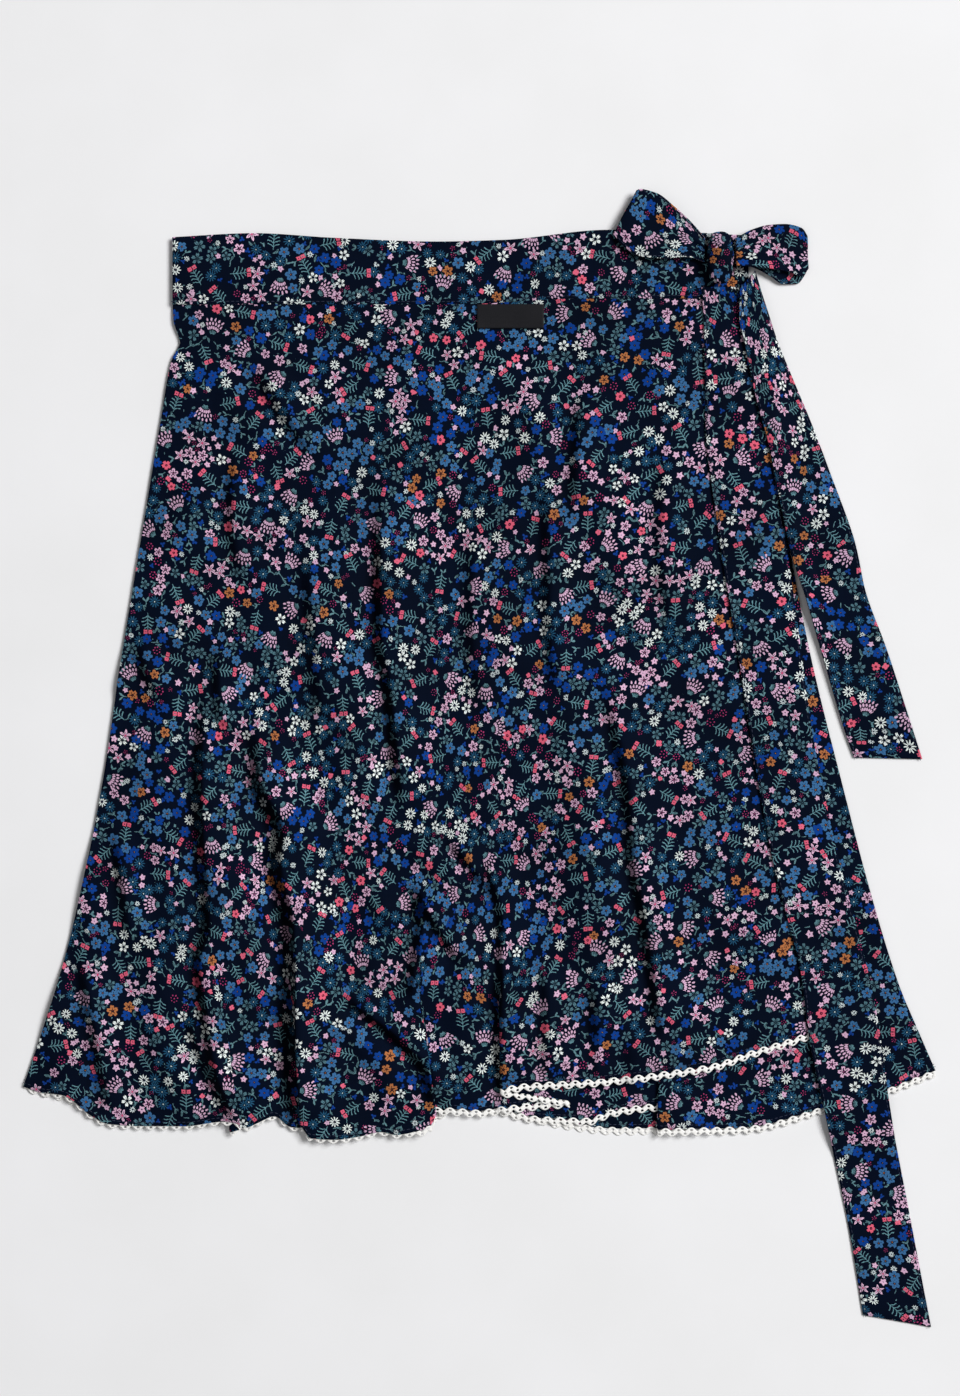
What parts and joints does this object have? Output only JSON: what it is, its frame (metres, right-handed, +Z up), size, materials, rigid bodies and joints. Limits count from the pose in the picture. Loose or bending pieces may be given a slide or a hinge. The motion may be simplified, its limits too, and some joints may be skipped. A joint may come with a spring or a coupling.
{
  "type": "wrap skirt",
  "caption": "Knee-length A-line wrap skirt in a small floral print, laid flat with a pleated lace-edged hem and its waist ties knotted in a bow at one side.",
  "frame": {"origin": "on the table under the middle of the skirt's bounding box", "axes": "+X along the waist towards the bow, +Y from the hem to the waist, +Z up off the table"},
  "size_m": [0.6015, 0.7496, 0.0185],
  "materials": {
    "printed_cloth": "matte woven viscose with a small floral print on navy",
    "cotton_lace": "matte white cotton lace",
    "woven_label": "black woven tape with a slight sheen"
  },
  "bodies": {
    "root": {"back_panel": "printed_cloth", "front_under_panel": "printed_cloth", "front_over_panel": "printed_cloth", "waistband_back": "printed_cloth", "waistband_under": "printed_cloth", "waistband_over": "printed_cloth", "tie_knot": "printed_cloth", "bow_loop_left": "printed_cloth", "bow_loop_right": "printed_cloth", "tie_tail_long": "printed_cloth", "tie_tail_short": "printed_cloth", "lace_back": "cotton_lace", "lace_front_under": "cotton_lace", "lace_front_over": "cotton_lace", "label": "woven_label"}
  },
  "joints": []
}
